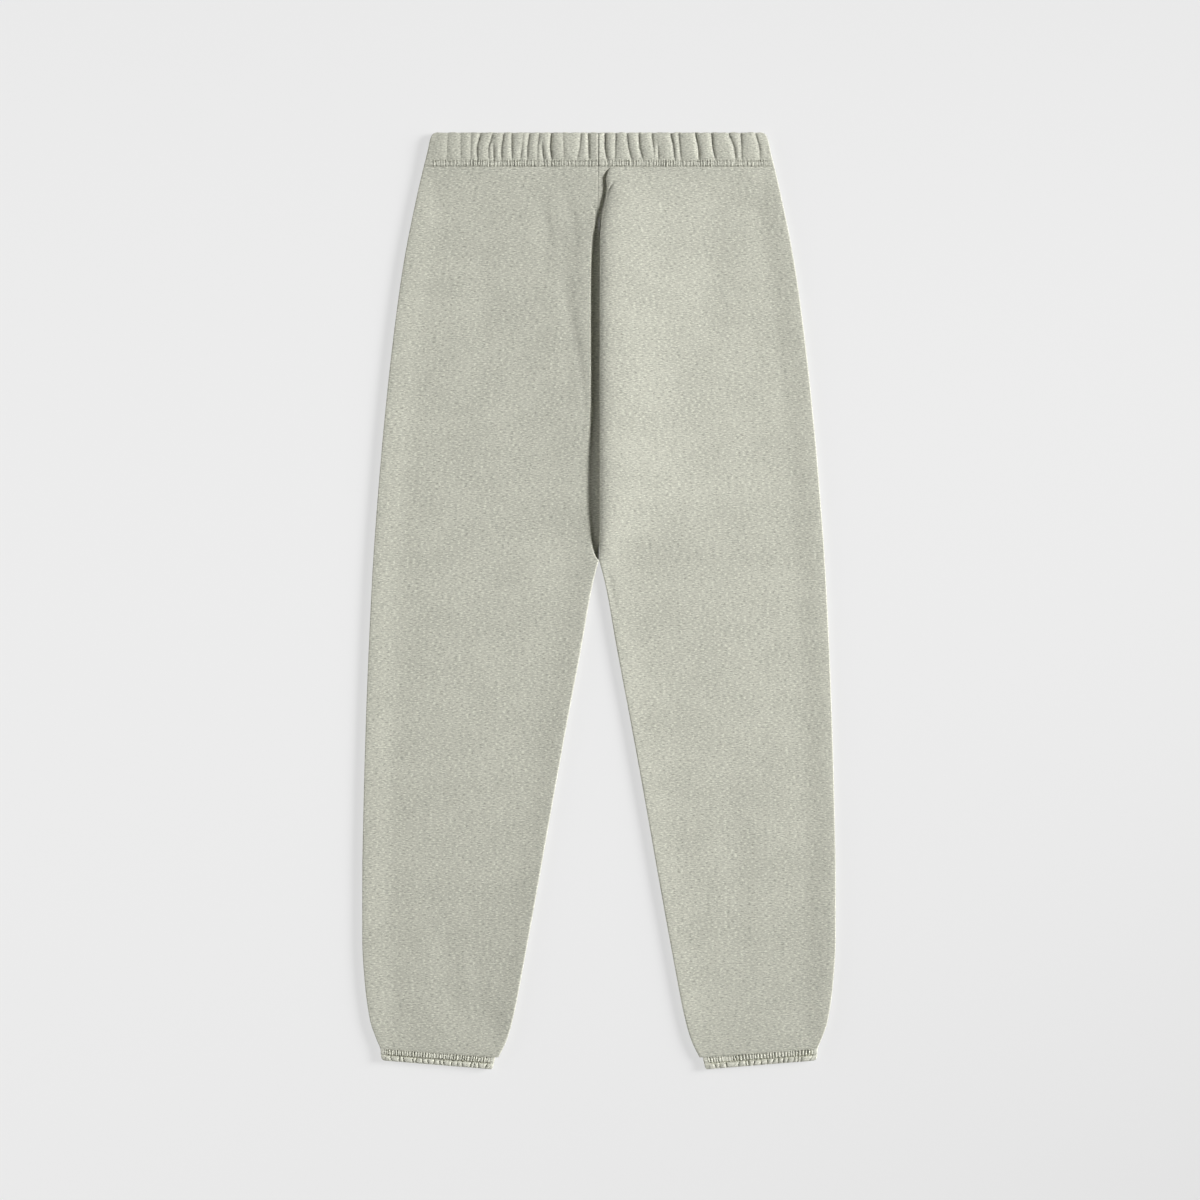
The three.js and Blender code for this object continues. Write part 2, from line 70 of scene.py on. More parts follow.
# The sewing
STITCH_PITCH = 3.1  # one coverstitch and the hole after it
STITCH_LENGTH = 1.4
STITCH_UNEVEN = 0.3  # share by which stitches differ in size
THREAD_WIDTH = 0.8
THREAD_LIES = 0.3  # height of a thread's middle above the cloth
THREAD_UNDER = 0.5  # and above the floor, under a casing
SEAM_DRAWN = 0.12  # how far a panel sinks at its upper and lower seams
SEAM_SINK = (0.35, 0.3)  # and at its side and inner seams
SEAM_REACH = 0.8  # half the width of those two
SEAM_RIDGE = 0.15  # height of the ridge beside such a seam, as a share of its sink
WAIST_ROWS = (31.9, 37.2)  # the two rows of coverstitch along the waistband, by their down
HEM_ROWS = (0.9, 6.8)  # and along a hem casing, from its top


def table(columns, *rows):
    """A short table with named columns."""
    return {name: np.array([row[i] for row in rows], float) for i, name in enumerate(columns.split())}


# The side seam and the inner leg, as half of the outline
SIDE_SEAM = table(
    "down out",
    (0, 180), (2, 183), (8, 186), (20, 188.5), (38, 193), (75, 201.5), (141, 214.5), (207, 224),
    (295, 234), (383, 242), (471, 248.5), (559, 253), (647, 256.5), (735, 259), (823, 260.5),
    (889, 260.5), (933, 258), (977, 252), (999, 244.6), (1009, 240.6), (1016, 240), (1020, 238.8),
    (1022, 237),
)
INNER_LEG = table(
    "down out",
    (471, 0.15), (493, 6), (515, 10.5), (559, 18), (647, 34.5), (735, 50.5), (823, 66), (911, 82),
    (977, 95), (999, 101.5), (1018, 110.5), (1031.6, 117.5),
)

# The fold down the middle of the seat, where the right back rolls over the left one. Each back tilts towards
# its lip by the tilt in degrees and rolls down over it, drops to a floor and meets it at a turn in degrees:
# at 0 it runs on towards the centre, at 90 it points straight down and at 180 it has rolled back under its
# own lip. A straight tail then reaches the seam, and climbs to it by the rise.
FOLD = {
    1: table(
        "down top tilt lip radius floor turn seam rise",
        (38, 8.3, 0, 11, 2.4, 8, 0, -0.85, 0.2),
        (44, 10, 8, 9.2, 2.4, 7.6, 0, -0.85, 0.5),
        (50, 11, 16, 7.9, 2, 7.2, 0, -0.85, 0.9),
        (60, 11.8, 22, 9, 2.2, 7, 0, -0.85, 1.1),
        (75, 12.4, 28, 7.6, 2.4, 6.6, 0, -0.85, 1.5),
        (86, 12.9, 32, 5.4, 3, 5.8, 0, -1, 1.8),
        (101, 13.4, 34, 2.7, 3, 5.3, 50, -0.6, 0.2),
        (112, 13.7, 34, 1.3, 2.6, 5.3, 100, 1.6, 0),
        (130, 13.9, 34, 1, 2.4, 5.15, 180, 5, 0),
        (150, 14.2, 34, 0.9, 2.3, 5.15, 180, 11, 0),
        (185, 14.4, 34, 0.8, 2.2, 5.15, 180, 17, 0),
        (320, 14.6, 34, 0.8, 2.2, 5.15, 180, 17, 0),
        (380, 15.6, 34, 0.8, 2.4, 5.15, 180, 17, 0),
        (425, 15.2, 34, 0.8, 2.4, 5.15, 180, 9, 0),
        (446, 13.8, 32, 0.7, 2.4, 5.15, 165, 4, 0),
        (460, 11, 18, 0.4, 2.8, 4.9, 125, 0.9, 0),
        (471, 8.2, 0, 0.15, 1.5, 4.25, 90, 0.15, 0),
    ),
    -1: table(
        "down top tilt lip radius floor turn seam rise",
        (38, 8.1, 0, 9, 3, 8.1, 0, 1.15, 0.1),
        (75, 8.1, 0, 8, 3, 8.1, 0, 1.15, 0),
        (90, 8.4, 0, 3.4, 3, 6.9, 0, 1.4, 0),
        (100, 8.7, 0, 3.8, 3.2, 5.5, 0, 0.9, 0),
        (110, 8.9, 0, 5.6, 3, 4.8, 0, -0.4, 0),
        (130, 9.1, 1, 7.8, 2.8, 4.7, 0, -5, 0),
        (150, 9.3, 2, 8.6, 2.3, 4.7, 0, -11, 0),
        (185, 9.4, 2, 8.9, 2, 4.7, 0, -17, 0),
        (280, 9.3, 2, 8.8, 2.1, 4.7, 0, -17, 0),
        (325, 8.4, 1, 8.6, 5, 4.7, 0, -17, 0),
        (370, 7.4, 0, 7, 11, 4.7, 0, -17, 0),
        (405, 7.3, 0, 7, 11, 4.7, 0, -12, 0),
        (432, 7.3, 0, 7.6, 6.4, 4.7, 0, -5, 0),
        (449, 7.5, 0, 7.8, 3, 4.7, 0, -1.4, 0),
        (459, 7.8, 0, 6.2, 2.4, 4.6, 20, -0.2, 0),
        (466, 8, 0, 3.8, 2, 4.4, 60, 0.1, 0),
        (471, 8.2, 0, 0.15, 1.5, 4.25, 90, 0.15, 0),
    ),
}
# Away from its lip each back bulges over a crest, as the tilt eases off within the reach, and then sinks to
# the flat within the fall
CREST = {-1: {"reach": 8, "fall": 44}, 1: {"reach": 4.6, "fall": 74}}

# Broad soft folds of the backs, each a line between two points
SOFT_FOLDS = table(
    "x1 down1 x2 down2 width lift",
    (-38, 70, -30, 320, 12, -1.2),
    (-66, 60, -58, 170, 12, -0.8),
    (-128, 80, -128, 270, 17, -0.7),
    (130, 60, 122, 250, 19, -0.8),
    (144, 690, 158, 930, 18, -1.0),
    (-172, 850, -160, 975, 16, -1.0),
)


def crease(*rows):
    """A crease followed down the cloth. A lift below 0 is a trough, and above it a ridge."""
    return table("down x width lift", *rows)


# Narrower creases of the backs
CREASES = [
    crease((38, 13.4, 1, 0), (41, 10.4, 1.1, -1.4), (45, 8.2, 1.2, -2.3), (50, 6.7, 1.4, -2.4),
           (56, 6.7, 1.7, -2.1), (62, 7.1, 1.9, -2), (68, 6.3, 2, -1.9), (75, 4.8, 2, -1.7),
           (84, 2.6, 1.9, -1), (94, 0.8, 1.8, 0)),
    crease((53, 17.5, 1.3, 0), (57, 14.8, 1.2, -1), (62, 12.2, 1.3, -1.6), (67, 9.8, 1.4, -1.1),
           (72, 8, 1.5, 0)),
    crease((72, -62, 5, 0), (92, -59, 4, -0.45), (112, -55, 4, -0.5), (138, -52, 6, 0)),
    crease((150, -42, 7, 0), (200, -32, 6, -0.5), (262, -20, 5, -0.7), (300, -16.5, 4, -0.5),
           (335, -16, 4, 0)),
    crease((46, -46, 7, 0), (80, -34, 7, -0.5), (112, -26, 6, -0.4), (150, -22, 6, 0)),
    crease((478, 8, 4, 0), (492, 12, 4, -0.7), (510, 15, 4, -0.7), (532, 19, 5, 0)),
    crease((560, 48, 14, 0), (660, 66, 16, 0.5), (760, 84, 16, 0)),
    crease((870, -140, 10, 0), (930, -134, 9, -0.5), (990, -128, 9, 0)),
    crease((850, 196, 14, 0), (920, 190, 12, -0.5), (990, 184, 12, 0)),
    crease((420, -60, 18, 0), (520, -70, 20, 0.5), (640, -90, 20, 0)),
]
# Troughs pressed into the fronts, which lie on the floor
FRONT_CREASES = [
    crease((70, -60, 9, 0), (180, -70, 10, -1.1), (330, -84, 9, 0)),
    crease((110, 96, 8, 0), (230, 88, 9, -1.0), (380, 84, 9, 0)),
    crease((430, -130, 9, 0), (560, -138, 10, -0.9), (720, -150, 9, 0)),
    crease((520, 110, 8, 0), (640, 122, 9, -1.0), (820, 140, 9, 0)),
    crease((860, -168, 7, 0), (930, -172, 8, -1.0), (996, -170, 7, 0)),
    crease((870, 180, 7, 0), (940, 178, 8, -0.9), (996, 172, 7, 0)),
]

# The creases between the gathers of the waistband: x at the top, the middle and the foot of the casing, and
# the depth at its top and foot
GATHERS = table(
    "top middle foot deep_top deep_foot",
    (-166, -167, -167, 0.2, 0.25),
    (-151.8, -152, -152, 0.25, 0.35),
    (-140.3, -141, -141, 0.35, 0.45),
    (-130, -134.2, -133.5, 1.2, 1.2),
    (-116.7, -121.7, -121, 1.1, 0.8),
    (-117.5, -116, -115.3, 0, 1.4),
    (-104.8, -107, -107, 1.1, 1.2),
    (-95.7, -95.7, -95.3, 1.4, 1.2),
    (-83.6, -84.7, -86.6, 0.1, 0.9),
    (-76.3, -78.5, -78.5, 1.3, 1.1),
    (-65.5, -67.7, -67.9, 0.8, 0.3),
    (-63.8, -62, -60.5, 0, 1.9),
    (-52.1, -53.1, -51.5, 2, 2),
    (-39.6, -39, -38, 0.3, 0.4),
    (-19.8, -21.1, -24.8, 0.9, 0.7),
    (-11.4, -11, -10.8, 1.6, 1.5),
    (7, 7, 9.2, 2.2, 2),
    (18.7, 18.2, 17.5, 1.1, 0.7),
    (30.8, 32.6, 36.3, 1.1, 1.3),
    (44.1, 44.9, 49, 1.5, 1.2),
    (58.2, 60, 61, 1.2, 0.2),
    (62.7, 65.1, 65.9, 0, 1.2),
    (79.2, 82.2, 83.4, 1.6, 1.2),
    (87.6, 89.1, 90.5, 1, 1),
    (106.6, 109.8, 110.8, 2.1, 2.1),
    (124.1, 125.5, 128.5, 1.8, 1.4),
    (143, 149, 150.7, 1.2, 1.4),
    (156.3, 156.9, 157.1, 1.2, 0.8),
    (172.5, 176.5, 177.4, 0.9, 0.7),
)
WAIST_CASING = table(
    "down top gather",
    (0, 8.2, 0.7), (4, 8.9, 1.1), (14, 9.6, 1), (26, 9.3, 1),
    (31.3, 8.8, 0.3), (35, 9, 0.15), (38, 8.4, 0.1),
)

# The separators between the gathers of each hem, as shares of the way from the side seam to the inner leg
HEM_GATHERS = {
    -1: table(
        "share depth",
        (0.056, 0.5), (0.136, 0.9), (0.176, 0.8), (0.265, 0.6), (0.297, 0.9), (0.357, 0.8), (0.409, 0.4),
        (0.47, 1), (0.522, 0.8), (0.559, 0.9), (0.639, 1), (0.691, 0.5), (0.737, 1.1), (0.82, 0.9),
        (0.852, 0.5), (0.892, 0.8), (0.969, 0.7),
    ),
    1: table(
        "share depth",
        (0.018, 0.4), (0.115, 0.7), (0.147, 0.6), (0.183, 0.8), (0.239, 0.9), (0.284, 0.7), (0.332, 0.8),
        (0.38, 0.9), (0.436, 1), (0.5, 0.8), (0.565, 0.9), (0.617, 1), (0.646, 0.6), (0.71, 1),
        (0.831, 1), (0.892, 0.9), (0.936, 0.7),
    ),
}
HEM_CASING = table(
    "down top gather",
    (0.1, 8.4, 0.4), (1.8, 8.7, 1), (4.6, 8.8, 1), (6.8, 7.9, 0.5),
    (8.8, 9.2, 1), (11, 9, 1), (13.3, 8.4, 0.8),
)


def smooth(t):
    s = np.clip(t, 0.0, 1.0)
    return s * s * (3 - 2 * s)


def along(rows, column, down):
    """A value between the rows of a table, smooth and without overshoot."""
    knots, values = rows["down"], rows[column]
    rise = np.diff(values) / np.diff(knots)
    product, total = rise[:-1] * rise[1:], rise[:-1] + rise[1:]
    middle = np.where(product > 0, 2 * product / np.where(total == 0, 1, total), 0)
    slope = np.concatenate([rise[:1], middle, rise[-1:]])
    x = np.clip(down, knots[0], knots[-1])
    i = np.clip(np.searchsorted(knots, x, side="right") - 1, 0, len(knots) - 2)
    span = knots[i + 1] - knots[i]
    t = (x - knots[i]) / span
    ease = t * t * (3 - 2 * t)
    bend = span * (t * (1 - t) ** 2 * slope[i] - t * t * (1 - t) * slope[i + 1])
    return values[i] * (1 - ease) + values[i + 1] * ease + bend


def slant_at(down):
    """How far a row sinks on its way from the side seam to the inner leg."""
    return HEM_SLANT * smooth((down - CROTCH) / (HEM_SEAM - CROTCH))


def down_at(row, out):
    """The down of the points of a row of a leg."""
    side, inner = along(SIDE_SEAM, "out", row), along(INNER_LEG, "out", row + slant_at(row))
    return row + slant_at(row) * (side - out) / (side - inner)


def soft_folds(x, down):
    lift = 0
    for x1, down1, x2, down2, width, height in zip(*SOFT_FOLDS.values()):
        run = np.array([x2 - x1, down2 - down1])
        length = np.hypot(*run)
        t = ((x - x1) * run[0] + (down - down1) * run[1]) / length**2
        away = ((x - x1) * run[1] - (down - down1) * run[0]) / length
        lift = lift + height * np.sin(math.pi * np.clip(t, 0, 1)) ** 0.7 * np.exp(-((away / width) ** 2))
    return lift


def crease_lift(creases, x, down):
    lift = np.zeros_like(x)
    for rows in creases:
        away = (x - along(rows, "x", down)) / along(rows, "width", down)
        lift += along(rows, "lift", down) * np.exp(-(away**2))
    return lift


def ripple(x, seed, shortest, longest):
    """An uneven wave from -1 to 1 along x, with no period that shows."""
    draw = np.random.default_rng(seed)
    waves = [np.sin(2 * math.pi * (x / draw.uniform(shortest, longest) + draw.uniform())) for _ in range(5)]
    return sum(waves) / 3.2


def hammock(x, down, seed):
    """The faint unevenness of cloth that lies on cloth."""
    draw = np.random.default_rng(seed)
    lift = np.zeros_like(x)
    for _ in range(14):
        angle, length = draw.uniform(0, math.pi), draw.uniform(45, 130)
        way = x * math.cos(angle) + down * 0.6 * math.sin(angle)
        lift += np.sin(2 * math.pi * (way / length + draw.uniform()))
    return lift / 14


def back_top(side, out, down, lip_out, lip_top):
    """The height of a back's upper surface between its side seam and its inner lip."""
    lift = EDGE_TOP - FLAT_TOP
    seat = 1 - smooth((down - SEAT_ENDS) / (CROTCH - SEAT_ENDS))
    crest = CREST[side]
    fall = CROTCH_FALL + (crest["fall"] - CROTCH_FALL) * seat
    past = np.maximum(out - lip_out, 0)
    reach = crest["reach"]
    bulge = reach * np.tan(np.radians(along(FOLD[side], "tilt", down)))
    crest_top = lip_top - FLAT_TOP + bulge
    side_out = along(SIDE_SEAM, "out", down)
    rises = [
        lift * (1 - smooth((side_out - EDGE_ROLL - out) / SIDE_RISE)),
        crest_top * np.exp(-((past / fall) ** 1.6)) - bulge * np.exp(-past / reach),
        lift * (1 - smooth((down - WAIST_SEAM) / WAIST_RISE)),
        lift * (1 - smooth((HEM_SEAM - down) / HEM_RISE)),
    ]
    # The highest of them, rounded where two meet
    rise = sum(np.maximum(r, 0) ** 8 for r in rises) ** 0.125
    inside = smooth((side_out - out) / 30) * smooth(past / 12)
    return FLAT_TOP + rise + inside * soft_folds(side * out, down)


def walk(start, stretches, distance):
    """Follows the arcs and straights of a path from its start for a distance."""
    out, z, heading = start
    left = distance
    for length, radius in stretches:
        step = min(left, length)
        turned = heading + step / radius if radius else heading
        out -= radius * (math.sin(turned) - math.sin(heading)) if radius else step * math.cos(heading)
        z += radius * (math.cos(turned) - math.cos(heading)) if radius else -step * math.sin(heading)
        heading = turned
        left -= step
    return out, z, heading


FOLD_STEPS = 32
TAIL_WEIGHT = 0.3  # how closely a tail is stepped, against the roll before it


def fold_path(side, down):
    """A back's inner end in one row: the roll over its lip, the drop, the bend at the floor and the tail.
    Each point is out, z and the way the cloth faces."""
    at = {name: float(along(FOLD[side], name, down)) for name in FOLD[side]}
    radius, turn, tilt = at["radius"], math.radians(at["turn"]), math.radians(at["tilt"])
    drop = at["top"] - at["floor"]
    shallow = min(max((math.cos(tilt) + math.cos(turn) - drop / radius) / 2, 0), math.cos(tilt))
    steepest = math.acos(shallow) if turn < math.pi / 2 else math.pi / 2
    bend = turn - steepest
    stretches = [
        (radius * (steepest - tilt), radius),
        (max(drop - radius * (math.cos(tilt) + abs(math.cos(turn))), 0), 0),
        (radius * abs(bend), math.copysign(radius, bend)),
    ]
    run = sum(length for length, _ in stretches)
    inner = float(along(INNER_LEG, "out", down + slant_at(down))) - INNER_LEG["out"][0]
    start = (at["lip"] + radius * (1 - math.sin(tilt)) + inner, at["top"], tilt)
    tail = max((walk(start, stretches, run)[0] - at["seam"]) * math.cos(turn) ** 5, 0)
    points = []
    for i in range(FOLD_STEPS + 1):
        here = (run + TAIL_WEIGHT * tail) * i / FOLD_STEPS
        beyond = max(here - run, 0) / TAIL_WEIGHT
        out, z, heading = walk(start, [*stretches, (tail, 0)], min(here, run) + beyond)
        rise = at["rise"] * beyond / tail if tail > 0 else 0
        points.append((out, z + rise, -math.sin(heading), math.cos(heading)))
    return np.array(points)


def pressed(points):
    """A section whose two ends are drawn in by their seams, each with a low ridge beside it."""
    steps = np.hypot(*np.diff(points[:, :2], axis=0).T)
    from_start = np.concatenate([[0], np.cumsum(steps)])
    for away, depth in zip((from_start, from_start[-1] - from_start), SEAM_SINK):
        ridge = SEAM_RIDGE * depth
        beside = (away - 2.2 * SEAM_REACH) / SEAM_REACH
        lift = ridge * np.exp(-(beside**2)) - depth * np.exp(-((away / SEAM_REACH) ** 2))
        points[:, 0] += lift * points[:, 2]
        points[:, 1] += lift * points[:, 3]
    return points


def section_points(out, z, face_out, face_up):
    size = np.hypot(face_out, face_up)
    return np.column_stack([out, z, face_out / size, face_up / size])


def back_section(side, row):
    """A back's outer points in one row, from the side seam to the centre or inner leg seam."""
    inner = fold_path(side, row)
    lip_out, lip_top = inner[0, :2]

    def top_at(out):
        return back_top(side, out, down_at(row, out), lip_out, lip_top)

    side_out = float(along(SIDE_SEAM, "out", row))
    start = side_out - EDGE_ROLL
    mid = (EDGE_TOP + SEAM_GAP) / 2
    a = np.radians(90) * np.linspace(0, 1, 10)
    roll = section_points(
        start + EDGE_ROLL * np.cos(a), top_at(start) - EDGE_ROLL * (1 - np.sin(a)), np.cos(a), np.sin(a)
    )
    roll = np.vstack([[side_out, mid, 1, 0], roll])
    t = np.linspace(1, 0, 88)[1:-1]
    out = lip_out + (start - lip_out) * (0.4 * t + 0.6 * t * t)
    spread = section_points(out, top_at(out), (top_at(out - 1) - top_at(out + 1)) / 2, 1 + 0 * out)
    points = np.vstack([roll, spread, inner])
    x, down = side * points[:, 0], down_at(row, points[:, 0])
    facing_up = np.clip(points[:, 3], 0, 1)
    quiet = smooth((side_out - points[:, 0]) / 20)
    lift = crease_lift(CREASES, x, down) * facing_up + UNEVEN * hammock(x, down, 5) * facing_up * quiet
    points[:, 0] += lift * points[:, 2]
    points[:, 1] += lift * points[:, 3]
    return pressed(points)


def front_section(side, row):
    """A front's outer points in one row: flat on the floor, and turned up at the seams of the legs."""
    turn = math.radians(90) * float(smooth((row - FRONT_TURNS) / (CROTCH - FRONT_TURNS)))
    height = EDGE_RADIUS - SEAM_GAP / 2
    side_out = float(along(SIDE_SEAM, "out", row))
    start = side_out - EDGE_RADIUS
    centre = float(along(INNER_LEG, "out", row + slant_at(row))) + EDGE_RADIUS * math.sin(turn)
    a = np.radians(90) * np.linspace(1, 0, 9)
    roll_out = start + EDGE_RADIUS * np.sin(a)
    side_roll = section_points(roll_out, height * (1 - np.cos(a)), np.sin(a), -np.cos(a))
    reach = FRONT_REACH * (1 - math.sin(turn))
    out = start + (centre + reach - start) * np.linspace(0, 1, 58)[1:-1]
    down = down_at(row, out)
    quiet = smooth((start - out) / 12) * smooth((out - centre - 4) / 12)
    pressed_up = -crease_lift(FRONT_CREASES, side * out, down) * quiet
    flat = section_points(out, pressed_up, 0 * out, -1 + 0 * out)
    share = np.linspace(0, 1, 12)
    b = turn * share
    inner_out = centre - EDGE_RADIUS * np.sin(b) + reach * (1 - share)
    inner_roll = section_points(inner_out, height * (1 - np.cos(b)), -np.sin(b), -np.cos(b))
    return np.vstack([side_roll, flat, inner_roll])


def loft(name, loops, uv, ring, material):
    """A closed skin through loops of equal, even length. A loop's first half is its outer side and the rest
    comes back along the inner one, so that an open end is closed by a strip between the two."""
    count, size = loops.shape[:2]
    spans = count if ring else count - 1
    i, j = np.meshgrid(np.arange(spans), np.arange(size), indexing="ij")
    k, m = (i + 1) % count, (j + 1) % size
    faces = np.stack([i * size + j, i * size + m, k * size + m, k * size + j], axis=-1).reshape(-1, 4)
    if not ring:
        a = np.arange(size // 2 - 1)
        strip = np.stack([a, size - 1 - a, size - 2 - a, a + 1], axis=-1)
        faces = np.vstack([faces, strip, strip[:, ::-1] + (count - 1) * size])
    corners = loops.reshape(-1, 3) * MM
    first, second, third = (corners[faces[:, n]] for n in range(3))
    if np.einsum("ij,ij->i", first, np.cross(second, third)).sum() < 0:
        faces = faces[:, ::-1]
    mesh = bpy.data.meshes.new(name)
    mesh.from_pydata(corners.tolist(), [], faces.tolist())
    mesh.validate()
    layer = mesh.uv_layers.new(name="Cloth")
    corner_of = np.zeros(len(mesh.loops), np.int32)
    mesh.loops.foreach_get("vertex_index", corner_of)
    layer.data.foreach_set("uv", (uv.reshape(-1, 2) * MM)[corner_of].astype(np.float32).ravel())
    mesh.shade_smooth()
    mesh.set_sharp_from_angle(angle=math.radians(62))
    mesh.materials.append(material)
    made = bpy.data.objects.new(name, mesh)
    bpy.context.scene.collection.objects.link(made)
    return made


def panel(name, side, rows, section_at, material):
    """A back or a front: a wall of cloth through its rows, drawn in along its upper and lower seams."""
    loops, uvs = [], []
    for row in rows:
        points = section_at(side, row)
        ends = min(row - rows[0], rows[-1] - row)
        drawn = -SEAM_DRAWN * math.exp(-(ends**2))
        outer = points[:, :2] + drawn * points[:, 2:]
        inner = points[:, :2] - CLOTH * points[:, 2:]
        steps = np.hypot(*np.diff(points[:, :2], axis=0).T)
        across = np.concatenate([[0], np.cumsum(steps)])
        loop = np.vstack([outer, inner[::-1]])
        down = down_at(row, loop[:, 0])
        loops.append(np.column_stack([side * loop[:, 0], LENGTH / 2 - down, loop[:, 1]]))
        uvs.append(np.column_stack([np.concatenate([across, across[::-1]]) * side, -down]))
    return loft(name, np.array(loops), np.array(uvs), False, material)


def spaced(*stretches):
    """Rows from one down to the next, each stretch with its own step."""
    rows = [np.arange(start, end - step / 2, step) for start, end, step in stretches]
    return np.concatenate([*rows, [stretches[-1][1]]])


GATHER_FLANKS = (0.8, 2.3)  # half the width of a crease on its right and on its left flank
GATHER_WIDENS = 0.25  # and how much is added for each millimetre of depth
GATHER_SINKS = 1.15  # depth of a crease at its core, against its row of the table
GATHER_PILLOW = 0.6  # how high the cloth stands between creases
PILLOW_REACH = 4.5  # and how far from a crease it gets there
FAINT = 0.6  # below this depth a crease also loses the pinch beside it


def gathers(x, down, shares):
    """How far the gathered cloth of the waistband stands off its mean at a point of its casing."""
    level = np.clip(down, 2, 33)
    valley = np.zeros_like(x)
    nearest = np.full_like(x, 40.0)
    for top, middle, foot, deep_top, deep_foot in zip(*GATHERS.values()):
        centre = np.interp(level, [2, 17, 32], [top, middle, foot])
        depth = np.interp(level, [2, 9, 25, 32], [deep_top, deep_top, deep_foot, deep_foot])
        away = x - centre
        width = np.where(away > 0, *GATHER_FLANKS) + GATHER_WIDENS * depth
        valley -= GATHER_SINKS * depth / (1 + (away / width) ** 2) ** 1.6
        nearest = np.minimum(nearest, np.abs(away) + 6 * np.clip(FAINT - depth, 0, 1))
    pillow = GATHER_PILLOW * (1 - np.exp(-((nearest / PILLOW_REACH) ** 2)))
    return (pillow + valley) * shares


def fold_arc(radius, steps):
    """The roll of a casing's fold: how far it is from the fold, and its share of the wall's thickness."""
    a = np.radians(90) * np.linspace(1, 0, steps)
    return radius * (1 - np.cos(a)), 0.5 + 0.5 * np.sin(a)


def wall_rows(downs, fold_downs, fold_shares, last):
    """The rows of points round a casing's wall: along its outer side, over its fold and back along its inner
    side to a last row that makes their number even. Each has its share of the wall's thickness."""
    rows = [downs, fold_downs, fold_downs[-2::-1], downs[::-1], [last]]
    shares = [np.ones(len(downs)), fold_shares, 1 - fold_shares[-2::-1], np.zeros(len(downs) + 1)]
    return np.concatenate(rows), np.concatenate(shares)


# The rows of points of the waistband, from its foot to its fold, close together at the stitches
WAIST_DOWNS = np.array([
    37.97, 37.6, 37.2, 36.8, 36.3, 35.7, 35, 34.3, 33.6, 33, 32.5, 32.2, 31.9, 31.6, 31.3, 30.8, 30.2,
    29.3, 28, 26.5, 24.5, 22, 19.5, 17, 14.5, 12, 9.8, 7.8, 6, 4.5, 3.3,
])
WAIST_ROLL = 2.4  # radius of the fold at its top
WAIST_FOLD_WAVES = 12  # how far below the fold its line still wavers
WAIST_RUN = 190  # length of the cloth from the centre back to the side
WAIST_UNDER = 210  # and to where the underside starts
WAIST_TURN = 6.5  # length of the cloth over the side, for each radian that it turns
WAIST_SECTIONS = (340, 19, 190)  # across the back, over the side and across the front
FRONT_GATHERS = 0.7  # depth of the gathers pressed up off the floor, against the back's
WAIST_PUCKERS = 0.45  # height of the puckers between the rows of coverstitch
CENTRE_SINK = (0.5, 0.8)  # depth and half width of the centre back seam in the waistband
CENTRE_RIDGE = (0.12, 2.2, 0.9)  # height, distance and half width of the low ridge on each side of it
END_INSIDE = 0.3  # reach of a casing's inner wall at its ends
BOXY = 0.36  # a power below 1 gives the end of a flattened casing a fuller curve than a half circle


def dimples(x, down, rows, groove, hole):
    """Each row of stitches pulls the casing down into a shallow groove, and deeper at some of its holes."""
    lift = 0
    for row in rows:
        depth = groove + hole * np.clip(ripple(x, int(10 * row), 2.5, 3.9), 0, 1)
        lift = lift - depth * np.exp(-(((down - row) / 0.7) ** 2))
    return lift


def waistband_height(x, down):
    """The upper surface of the waistband casing."""
    base = along(WAIST_CASING, "top", down)
    share = along(WAIST_CASING, "gather", down)
    strip = smooth((down - 29.5) / 2.5) * smooth((38.4 - down) / 1.2)
    fine = WAIST_PUCKERS * ripple(x, 11, 2.4, 4.6) * strip
    return base + gathers(x, down, share) + fine + dimples(x, down, WAIST_ROWS, 0, 0.6)


